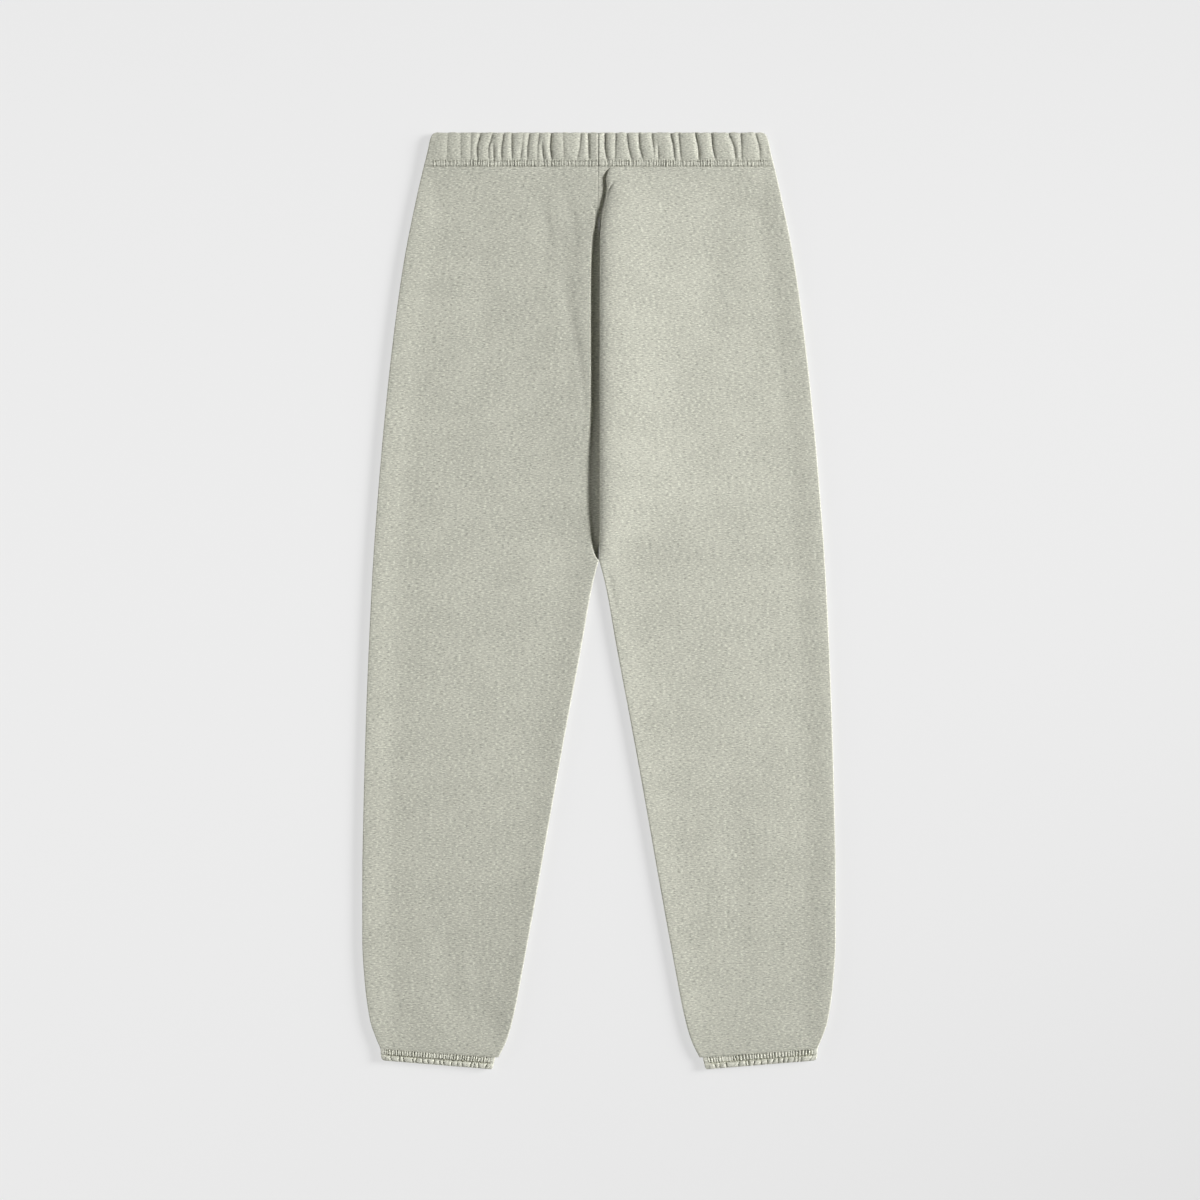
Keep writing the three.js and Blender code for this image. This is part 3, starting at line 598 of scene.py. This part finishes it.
def waistband(name, side, material):
    """Half of the waistband, from the centre back round the side seam to the centre front."""
    downs, shares = wall_rows(WAIST_DOWNS, *fold_arc(WAIST_ROLL, 9), WAIST_DOWNS[0] + 0.05)
    middle = CASING_WALL + CASING_HOLLOW / 2
    edge = along(SIDE_SEAM, "out", downs) - EDGE_RADIUS
    start = side * CENTRE_BACK + SEAM_GAP / 2
    near_fold = np.clip(1 - downs / WAIST_FOLD_WAVES, 0, 1)
    loops, uvs = [], []

    def keep(out, down, outer, inner, run):
        loops.append(np.column_stack([side * out, LENGTH / 2 - down, inner + (outer - inner) * shares]))
        uvs.append(np.column_stack([np.full_like(out, side * run), -down]))

    across_back, over_side, across_front = WAIST_SECTIONS
    for share in np.linspace(0, 1, across_back):
        out = start + (edge - start) * share
        calm = smooth((edge - out) / 7)
        sunk = -CENTRE_SINK[0] * np.exp(-(((out - start) / CENTRE_SINK[1]) ** 2))
        beside = CENTRE_RIDGE[0] * np.exp(-(((out - start - CENTRE_RIDGE[1]) / CENTRE_RIDGE[2]) ** 2))
        base = along(WAIST_CASING, "top", downs)
        outer = base + (waistband_height(side * out, downs) - base) * calm + (sunk + beside)
        wave = 0.35 * ripple(side * out, 3, 9, 23) * near_fold * calm
        keep(out, downs + wave + 0.2 * near_fold, outer, middle + CASING_HOLLOW / 2, share * WAIST_RUN)
    for a in np.radians(np.linspace(0, 180, over_side)[1:-1]):
        half_height = along(WAIST_CASING, "top", downs) / 2
        outwards, upwards = math.sin(a) ** BOXY, math.copysign(abs(math.cos(a)) ** BOXY, math.cos(a))
        out = edge + (EDGE_RADIUS * shares + END_INSIDE * (1 - shares)) * outwards
        outer = half_height + half_height * upwards
        keep(out, downs, outer, middle + CASING_HOLLOW / 2 * math.cos(a), WAIST_RUN + WAIST_TURN * a)
    for share in np.linspace(0, 1, across_front):
        out = edge + (SEAM_GAP / 2 - edge) * share
        calm = smooth((edge - out) / 10) * smooth((out - 2) / 8)
        lift = np.clip(-FRONT_GATHERS * gathers(-side * out * 0.97 - 4, downs, 1.0), 0, 1.3) * calm
        lift = lift + 0.3 * np.clip(ripple(out, 17, 2.6, 5), 0, 1) * smooth((downs - 30) / 3) * calm
        keep(out, downs, lift * shares, middle - CASING_HOLLOW / 2, WAIST_UNDER + share * WAIST_RUN)
    return loft(name, np.array(loops), np.array(uvs), False, material)


# The rows of points of a hem casing, from its top to its fold, close together at the stitches
HEM_DOWNS = np.array([
    0.05, 0.4, 0.7, 1.0, 1.4, 1.9, 2.5, 3.2, 3.9, 4.6, 5.2, 5.7, 6.1, 6.5, 6.8, 7.1, 7.5, 8.1, 8.8, 9.6,
    10.4, 11.2,
])
HEM_ROLL = 2.1  # radius of the fold at its foot
HEM_WIDTH = 122  # across a hem casing as it lies
HEM_RUN = 150  # length of the cloth across one side of it
HEM_STARTS = (160, 170, 330)  # and to its inner leg end, its underside and its side seam end
HEM_TURN = 4  # length of the cloth over an end, for each radian that it turns
HEM_SECTIONS = (400, 15, 150)  # across the upper side, over an end and across the underside
HEM_FLANKS = (0.4, 0.7)  # half the width of a crease on its two flanks
HEM_SINKS = 2.3  # depth of a crease at its core, against its row of the table
HEM_PILLOW = 0.7  # how high the cloth stands between creases
HEM_PILLOW_REACH = 1.7  # and how far from a crease it gets there
HEM_PUCKERS = 0.85  # height of the puckers between the rows of coverstitch
HEM_UNDER_GATHERS = 0.6  # depth of the gathers pressed up off the floor, against the upper side's


def hem_place(side, down, share, reach):
    """A point of a hem casing: a share of the way from the side seam's roll to the inner leg's."""
    level = HEM_SEAM + down
    side_out = along(SIDE_SEAM, "out", level)
    inner_out = along(INNER_LEG, "out", level + HEM_SLANT) + HEM_NOTCH * (1 - down / HEM_DEPTH)
    start = side_out - EDGE_RADIUS
    out = start + (inner_out + EDGE_RADIUS - start) * share + reach
    slant = HEM_SLANT * (side_out - out) / (side_out - inner_out)
    return side * out, LENGTH / 2 - level - slant


def hem_height(side, share, down):
    """The upper surface of a hem casing."""
    base = along(HEM_CASING, "top", down)
    gather = along(HEM_CASING, "gather", down)
    low = smooth((down - 6.6) / 0.8)
    valley = np.zeros_like(down)
    nearest = np.full_like(down, 9.0)
    for place, depth in zip(*HEM_GATHERS[side].values()):
        lean = 0.025 * math.sin(37 * place)
        away = (share - place - lean * (down - 9.6) / HEM_DEPTH) * HEM_WIDTH
        width = HEM_FLANKS[0] if away[0] > 0 else HEM_FLANKS[1]
        valley -= HEM_SINKS * depth / (1 + (away / width) ** 2) ** 1.8
        nearest = np.minimum(nearest, np.abs(away))
    pillow = HEM_PILLOW * (1 - np.exp(-((nearest / HEM_PILLOW_REACH) ** 2)))
    x = np.full_like(down, share * HEM_WIDTH)
    fine = HEM_PUCKERS * ripple(x, 23 + side, 2.3, 4.2)
    lift = gather * (low * (pillow + valley) + (1 - low) * fine)
    return base + lift + dimples(x, down, HEM_ROWS[:1], 0.3, 0.9) + dimples(x, down, HEM_ROWS[1:], 1.3, 0.7)


def hem(name, side, material):
    """A hem casing: a closed ring, gathered all round."""
    from_fold, fold_shares = fold_arc(HEM_ROLL, 7)
    downs, shares = wall_rows(HEM_DOWNS, HEM_DEPTH - from_fold, fold_shares, HEM_DOWNS[0] - 0.02)
    middle = CASING_WALL + CASING_HOLLOW / 2
    loops, uvs = [], []

    def keep(share, reach, outer, inner, run):
        x, y = hem_place(side, downs, share, reach)
        loops.append(np.column_stack([x, y, inner + (outer - inner) * shares]))
        uvs.append(np.column_stack([np.full_like(x, run), -HEM_SEAM - downs]))

    base = along(HEM_CASING, "top", downs)
    upper, over_end, under = HEM_SECTIONS
    inner_leg_starts, under_starts, side_seam_starts = HEM_STARTS

    def turn_over(end, way, run):
        """One end of the flattened ring: the inner leg's, where way is -1, or the side seam's."""
        for a in np.radians(np.linspace(0, 180, over_end)[1:-1]):
            rise = way * math.cos(a)
            reach = way * (EDGE_RADIUS * shares + END_INSIDE * (1 - shares)) * math.sin(a) ** BOXY
            outer = base / 2 - base / 2 * math.copysign(abs(rise) ** BOXY, rise)
            keep(end, reach, outer, middle - CASING_HOLLOW / 2 * rise, run + HEM_TURN * a)

    for share in np.linspace(0, 1, upper):
        calm = float(smooth(share / 0.015) * smooth((1 - share) / 0.015))
        outer = base + (hem_height(side, share, downs) - base) * calm
        keep(share, 0 * downs, outer, middle + CASING_HOLLOW / 2, share * HEM_RUN)
    turn_over(1, -1, inner_leg_starts)
    for share in np.linspace(1, 0, under):
        calm = float(smooth(share / 0.05) * smooth((1 - share) / 0.05))
        lift = np.clip(-HEM_UNDER_GATHERS * (hem_height(side, 1 - share, downs) - base), 0, 1)
        keep(share, 0 * downs, lift * calm, middle - CASING_HOLLOW / 2, under_starts + (1 - share) * HEM_RUN)
    turn_over(0, 1, side_seam_starts)
    return loft(name, np.array(loops), np.array(uvs), True, material)


def linear(hex_colour):
    """An sRGB hex colour as linear red, green, blue and alpha."""
    parts = [int(hex_colour[i : i + 2], 16) / 255 for i in (1, 3, 5)]
    return [c / 12.92 if c <= 0.04045 else ((c + 0.055) / 1.055) ** 2.4 for c in parts] + [1.0]


def add(tree, kind, inputs=None, **settings):
    """Adds a node. An input that is given a socket is linked to it, and any other value is set on it."""
    made = tree.nodes.new(kind)
    for name, value in settings.items():
        setattr(made, name, value)
    for name, value in (inputs or {}).items():
        socket = made.inputs[name]
        if isinstance(value, bpy.types.NodeSocket):
            tree.links.new(value, socket)
        else:
            socket.default_value = value
    return made


FLECK_HEIGHTS = (1.3, 1.2)  # of the dark and the light flecks: a course is 0.8 mm, drawn coarser to show
FLECK_EDGE = (0.48, 0.72)  # of the noise, from where a fleck begins to where it is full
FLECK_SHARE = 0.8  # how far a fleck takes on its own colour
CLOUD = (46, 38)  # width and height of the broad, faint changes of tone
CLOUD_EDGE = (0.3, 0.7)
CLOUD_SHARE = 0.16


def heather(name, ground, dark, light, fleck, grain):
    """Brushed-back cotton fleece with a jersey face, knitted from a melange yarn of sage, grey and cream
    fibres. The yarn's fibres show as short flecks that lie along the courses, across the leg, and the loose
    fibre ends leave a dull, slightly dusty surface with no gloss."""
    made = bpy.data.materials.new(name)
    made.use_nodes = True
    tree = made.node_tree
    tree.nodes.clear()
    cloth = add(tree, "ShaderNodeUVMap", uv_map="Cloth").outputs["UV"]

    def flecks(length, height, shift, detail):
        """Noise drawn out along the courses, with a fleck's real length and height in millimetres."""
        scale = (1 / (length * MM), 1 / (height * MM), 1)
        spread = {"Vector": cloth, "Location": (shift, shift, 0), "Scale": scale}
        place = add(tree, "ShaderNodeMapping", spread)
        noise = {"Vector": place.outputs[0], "Scale": 1.0, "Detail": detail, "Roughness": 0.6}
        return add(tree, "ShaderNodeTexNoise", noise, noise_dimensions="2D").outputs[0]

    def shown(value, edge, amount):
        """The share of the surface above a threshold, with a soft edge."""
        steps = {"Value": value, "From Min": edge[0], "From Max": edge[1]}
        above = add(tree, "ShaderNodeMapRange", steps, interpolation_type="SMOOTHSTEP").outputs["Result"]
        return add(tree, "ShaderNodeMath", {0: above, 1: amount}, operation="MULTIPLY").outputs[0]

    def mixed(factor, below, above):
        return add(tree, "ShaderNodeMix", {0: factor, 6: below, 7: above}, data_type="RGBA").outputs[2]

    dark_flecks = shown(flecks(fleck, FLECK_HEIGHTS[0], 3.1, 3.0), FLECK_EDGE, FLECK_SHARE)
    light_flecks = shown(flecks(fleck * 0.8, FLECK_HEIGHTS[1], 41.7, 3.0), FLECK_EDGE, FLECK_SHARE)
    toned = mixed(shown(flecks(*CLOUD, 7.7, 2.0), CLOUD_EDGE, CLOUD_SHARE), linear(ground), linear(dark))
    colour = mixed(light_flecks, mixed(dark_flecks, toned, linear(dark)), linear(light))
    # Loops of the jersey are 0.8 mm apart, too fine to show, so the grain is drawn about twice as coarse
    loops = flecks(grain * 1.6, grain, 19.3, 3.0)
    relief = {"Height": loops, "Strength": 0.55, "Distance": 0.35 * MM}
    raised = add(tree, "ShaderNodeBump", relief).outputs[0]
    shader = add(
        tree,
        "ShaderNodeBsdfPrincipled",
        {"Base Color": colour, "Normal": raised, "Roughness": 0.95, "IOR": 1.45, "Specular IOR Level": 0.25,
         "Sheen Weight": 0.05, "Sheen Roughness": 0.6},
    )
    add(tree, "ShaderNodeOutputMaterial", {"Surface": shader.outputs[0]})
    return made


def thread_material():
    """Spun polyester sewing thread, a little glossier than the fleece. Its colour is drawn darker than the
    fleece, as painted shade of the needle holes and of the shadow beside each stitch. Its twisted plies,
    about 0.6 mm apart, break up the gloss along each stitch."""
    made = bpy.data.materials.new("thread_painted_darker")
    made.use_nodes = True
    tree = made.node_tree
    tree.nodes.clear()
    place = add(tree, "ShaderNodeTexCoord").outputs["Object"]
    twist = add(tree, "ShaderNodeTexNoise", {"Vector": place, "Scale": 1600.0, "Detail": 1.0}).outputs[0]
    plies = add(tree, "ShaderNodeBump", {"Height": twist, "Strength": 0.4, "Distance": 0.1 * MM}).outputs[0]
    # Both shades are darker than the fleece: painted shade of the needle holes and the shadow beside each
    # stitch
    painted_dark_shades = {0: twist, 6: linear("#7a7a6c"), 7: linear("#a0a092")}
    colour = add(tree, "ShaderNodeMix", painted_dark_shades, data_type="RGBA").outputs[2]
    shader = add(
        tree,
        "ShaderNodeBsdfPrincipled",
        {"Base Color": colour, "Normal": plies, "Roughness": 0.7, "Specular IOR Level": 0.35},
    )
    add(tree, "ShaderNodeOutputMaterial", {"Surface": shader.outputs[0]})
    return made


def stitch_tree():
    """Rows of stitches along lines of edges: a short rounded thread at each pitch, turned along its line."""
    tree = bpy.data.node_groups.new("coverstitch", "GeometryNodeTree")
    sizes = {
        "Pitch": STITCH_PITCH * MM, "Length": STITCH_LENGTH * MM, "Width": THREAD_WIDTH * MM,
        "Uneven": STITCH_UNEVEN,
    }
    tree.interface.new_socket("Lines", in_out="INPUT", socket_type="NodeSocketGeometry")
    for name, value in sizes.items():
        tree.interface.new_socket(name, in_out="INPUT", socket_type="NodeSocketFloat").default_value = value
    tree.interface.new_socket("Thread", in_out="INPUT", socket_type="NodeSocketMaterial")
    tree.interface.new_socket("Stitches", in_out="OUTPUT", socket_type="NodeSocketGeometry")
    given = add(tree, "NodeGroupInput").outputs
    lines = add(tree, "GeometryNodeMeshToCurve", {"Mesh": given["Lines"]}).outputs[0]
    steps = {"Curve": lines, "Length": given["Pitch"]}
    even = add(tree, "GeometryNodeResampleCurve", steps, mode="LENGTH").outputs[0]
    tangent = add(tree, "GeometryNodeInputTangent").outputs[0]
    turned = add(tree, "FunctionNodeAlignRotationToVector", {"Vector": tangent}, axis="X").outputs[0]
    ball = add(tree, "GeometryNodeMeshUVSphere", {"Segments": 8, "Rings": 6, "Radius": 0.5}).outputs[0]
    sides = {0: given["Length"], 1: given["Width"], 2: given["Width"]}
    size = add(tree, "ShaderNodeCombineXYZ", sides).outputs[0]
    stitch = add(tree, "GeometryNodeTransform", {"Geometry": ball, "Scale": size}).outputs[0]
    low = add(tree, "ShaderNodeMath", {0: 1.0, 1: given["Uneven"]}, operation="SUBTRACT").outputs[0]
    high = add(tree, "ShaderNodeMath", {0: 1.0, 1: given["Uneven"]}, operation="ADD").outputs[0]
    scale = add(tree, "FunctionNodeRandomValue", {2: low, 3: high, "Seed": 4}, data_type="FLOAT").outputs[1]
    placed = add(
        tree,
        "GeometryNodeInstanceOnPoints",
        {"Points": even, "Instance": stitch, "Rotation": turned, "Scale": scale},
    ).outputs[0]
    real = add(tree, "GeometryNodeRealizeInstances", {"Geometry": placed}).outputs[0]
    painted = add(tree, "GeometryNodeSetMaterial", {"Geometry": real, "Material": given["Thread"]}).outputs[0]
    add(tree, "NodeGroupOutput", {"Stitches": painted})
    return tree


def stitching(name, lines, tree, thread):
    """Stitches along lines of points in millimetres, as one plain mesh."""
    starts = np.cumsum([0] + [len(line) for line in lines])
    edges = [(int(s + i), int(s + i + 1)) for s, line in zip(starts, lines) for i in range(len(line) - 1)]
    path = bpy.data.meshes.new(name + "_path")
    path.from_pydata((np.vstack(lines) * MM).tolist(), edges, [])
    holder = bpy.data.objects.new(name + "_path", path)
    bpy.context.scene.collection.objects.link(holder)
    sewn = holder.modifiers.new("sewn", "NODES")
    sewn.node_group = tree
    thread_input = next(s for s in tree.interface.items_tree if s.name == "Thread")
    sewn[thread_input.identifier] = thread
    bpy.context.view_layer.update()
    ready = holder.evaluated_get(bpy.context.evaluated_depsgraph_get())
    mesh = bpy.data.meshes.new_from_object(ready)
    mesh.name = name
    mesh.shade_smooth()
    made = bpy.data.objects.new(name, mesh)
    bpy.context.scene.collection.objects.link(made)
    bpy.data.objects.remove(holder)
    return made


def waist_lines():
    """The rows of stitches across the back of the waistband and, pressed up off the floor, its front."""
    lines = []
    for row in WAIST_ROWS:
        reach = float(along(SIDE_SEAM, "out", row)) - EDGE_RADIUS - 1
        x = np.linspace(-reach, reach, 700)
        y = np.full_like(x, LENGTH / 2 - row)
        z = np.array([float(waistband_height(np.array([v]), np.array([row]))[0]) for v in x]) + THREAD_LIES
        lines.append(np.column_stack([x, y, z]))
        lines.append(np.column_stack([x, y, np.full_like(x, THREAD_UNDER)]))
    return lines


def hem_lines(side):
    """The rows of stitches of a hem casing, on its upper side and on its underside."""
    lines = []
    for row in HEM_ROWS:
        points = []
        for share in np.linspace(0.01, 0.99, 240):
            x, y = hem_place(side, np.array([row]), share, 0)
            points.append((x[0], y[0], float(hem_height(side, share, np.array([row]))[0]) + THREAD_LIES))
        lines.append(np.array(points))
        low = np.array(points)
        low[:, 2] = THREAD_UNDER
        lines.append(low)
    return lines


# Materials
fleece = heather("heather_cotton_fleece", "#c1c1b4", "#909187", "#e2e3d4", 4.6, 1.5)
casing = heather("gathered_cotton_fleece", "#c1c1b4", "#8d8e83", "#e1e2d3", 3.8, 1.4)
# The hems are the same fleece drawn lighter: painted light on the highlights of their gathered pillows
hem_casing = heather("hem_fleece_painted_lighter", "#d3d3c5", "#929388", "#eeeedf", 3.2, 1.3)
# The thread's dark colour is painted shade of the needle holes and of the shadow beside each stitch
thread = thread_material()

# The pieces
BACK_ROWS = spaced(
    (WAIST_SEAM + 0.03, 41, 0.55), (41, 70, 1.4), (70, 132, 2.2), (132, 440, 4.4), (440, 471, 2.2),
    (471, 940, 5.2), (940, 1002, 3.6), (1002, HEM_SEAM - 0.05, 0.65),
)
FRONT_ROWS = spaced(
    (WAIST_SEAM + 0.15, 42, 0.8), (42, 440, 8), (440, 476, 2.4), (476, 996, 8), (996, HEM_SEAM - 0.15, 1.1),
)
coverstitch = stitch_tree()
pieces = {}
for word, side in (("left", -1), ("right", 1)):
    pieces["back_" + word] = panel("back_panel_" + word, side, BACK_ROWS, back_section, fleece)
    pieces["front_" + word] = panel("front_panel_" + word, side, FRONT_ROWS, front_section, fleece)
    pieces["waistband_" + word] = waistband("waistband_casing_" + word, side, casing)
    pieces["hem_" + word] = hem("hem_casing_" + word, side, hem_casing)
waist_stitches = stitching("waistband_coverstitch", waist_lines(), coverstitch, thread)
hem_stitches = {
    word: stitching("hem_coverstitch_" + word, hem_lines(side), coverstitch, thread)
    for word, side in (("left", -1), ("right", 1))
}

# The floor, the light and the camera
TABLE_GLOW = 0.6  # strength of the light table
GLOW_SLOPE = 0.06  # how much less it glows a metre nearer to the soft box, which evens the table's tone
STUDIO_SIDES = 2.6  # strength of the pale walls
STUDIO_REST = 0.06  # and of the rest of the studio
KEY_SHARE = 0.67  # of the light that reaches the table
KEY_DISTANCE = 4.5  # metres
KEY_SIZE = 1.9  # metres across
KEY_AZIMUTH = 12  # degrees from +X towards the waist
KEY_ELEVATION = 30  # degrees above the table
KEY_AIM = 0.05  # metres towards the waist from the origin
KEY_GRID = math.radians(46)  # a grid before the soft box narrows its beam to this
FLOOR_REACH = 25  # metres from the origin to each side
FLOOR_LEVEL = -0.15 * MM  # a hair under the cloth, so that the two never share a plane
PALE_WALLS = (0.65, 0.92)  # how far to the side, of 1, the walls begin and are at their brightest
floor_mesh = bpy.data.meshes.new("floor")
corner_signs = ((-1, -1), (1, -1), (1, 1), (-1, 1))
floor_corners = [(FLOOR_REACH * x, FLOOR_REACH * y, FLOOR_LEVEL) for x, y in corner_signs]
floor_mesh.from_pydata(floor_corners, [], [(0, 1, 2, 3)])
floor = bpy.data.objects.new("floor", floor_mesh)
bpy.context.scene.collection.objects.link(floor)
# A light table of opal acrylic: lit from within, so that what lies on it throws only a pale, soft shadow
board = bpy.data.materials.new("lit_opal_acrylic")
board.use_nodes = True
opal = board.node_tree.nodes["Principled BSDF"].inputs
opal["Base Color"].default_value = linear("#878787")
opal["Roughness"].default_value = 0.9
opal["Specular IOR Level"].default_value = 0.0
opal["Emission Color"].default_value = (1.0, 1.0, 1.0, 1.0)
spot = add(board.node_tree, "ShaderNodeTexCoord").outputs["Object"]
across = add(board.node_tree, "ShaderNodeSeparateXYZ", {0: spot}).outputs[0]
evened = {"Value": across, "From Min": -1.0, "From Max": 1.0, "To Min": TABLE_GLOW + GLOW_SLOPE,
          "To Max": TABLE_GLOW - GLOW_SLOPE}
glow = add(board.node_tree, "ShaderNodeMapRange", evened).outputs["Result"]
board.node_tree.links.new(glow, opal["Emission Strength"])
floor_mesh.materials.append(board)

# The studio has a pale wall on the left and on the right, and is dark elsewhere
world = bpy.data.worlds.new("studio")
world.use_nodes = True
studio = world.node_tree
way = add(studio, "ShaderNodeTexCoord").outputs["Generated"]
to_side = add(studio, "ShaderNodeSeparateXYZ", {0: way}).outputs[0]
sideways = add(studio, "ShaderNodeMath", {0: to_side}, operation="ABSOLUTE").outputs[0]
bright = {"Value": sideways, "From Min": PALE_WALLS[0], "From Max": PALE_WALLS[1], "To Min": STUDIO_REST,
          "To Max": STUDIO_SIDES}
wall = add(studio, "ShaderNodeMapRange", bright, interpolation_type="SMOOTHSTEP").outputs["Result"]
studio.links.new(wall, studio.nodes["Background"].inputs["Strength"])
studio.nodes["Background"].inputs["Color"].default_value = (1.0, 1.0, 1.0, 1.0)
bpy.context.scene.world = world

# One soft box stands to the right, a little towards the waist
key = bpy.data.lights.new("soft_box", "AREA")
key.shape = "DISK"
key.size = KEY_SIZE
azimuth, elevation = math.radians(KEY_AZIMUTH), math.radians(KEY_ELEVATION)
key.spread = KEY_GRID
beam = math.tan(KEY_GRID / 2)
narrowing = (beam - KEY_GRID / 2) / (beam - KEY_SIZE / 3 / KEY_DISTANCE)
key.energy = narrowing * KEY_SHARE * (math.pi * KEY_DISTANCE) ** 2 / math.sin(elevation)
key_light = bpy.data.objects.new("soft_box", key)
key_light.location = (
    KEY_DISTANCE * math.cos(elevation) * math.cos(azimuth),
    KEY_DISTANCE * math.cos(elevation) * math.sin(azimuth) + KEY_AIM,
    KEY_DISTANCE * math.sin(elevation),
)
key_light.rotation_euler = (0, math.pi / 2 - elevation, azimuth)
bpy.context.scene.collection.objects.link(key_light)

# The camera looks straight down
FIELD = 1.32  # metres across the picture, at the level of the cloth
OFF_CENTRE = 0.0011  # metres from the origin to the middle of the picture, along +X and along +Y
CLOTH_LEVEL = 0.008  # metres from the floor to the upper surface
camera_data = bpy.data.cameras.new("camera")
camera_data.lens = 85
camera_data.sensor_width = 36
camera_height = FIELD * camera_data.lens / camera_data.sensor_width + CLOTH_LEVEL
camera = bpy.data.objects.new("camera", camera_data)
camera.location = (OFF_CENTRE, OFF_CENTRE, camera_height)
bpy.context.scene.collection.objects.link(camera)
bpy.context.scene.camera = camera
bpy.context.scene.view_settings.view_transform = "Standard"

# The cut of each piece; each piece and its stitching hang from the root body, and each piece's solid is
# hidden
CUTS = {
    # the flat size of what shows of each piece, and its area where the cut isn't a rectangle
    "back": {"flat": (0.29, 0.97), "area": 0.217},
    "front": {"flat": (0.262, 0.97), "area": 0.211},
    "waistband": {"flat": (0.45, 0.038), "area": None},
    "hem": {"flat": (0.33, 0.0135), "area": None},
}
for word in ("left", "right"):
    for kind in CUTS:
        node = f"{kind}_{word}"
        made = pieces[node]
        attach(made, "root")
        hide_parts(node)
    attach(hem_stitches[word], "root")
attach(waist_stitches, "root")
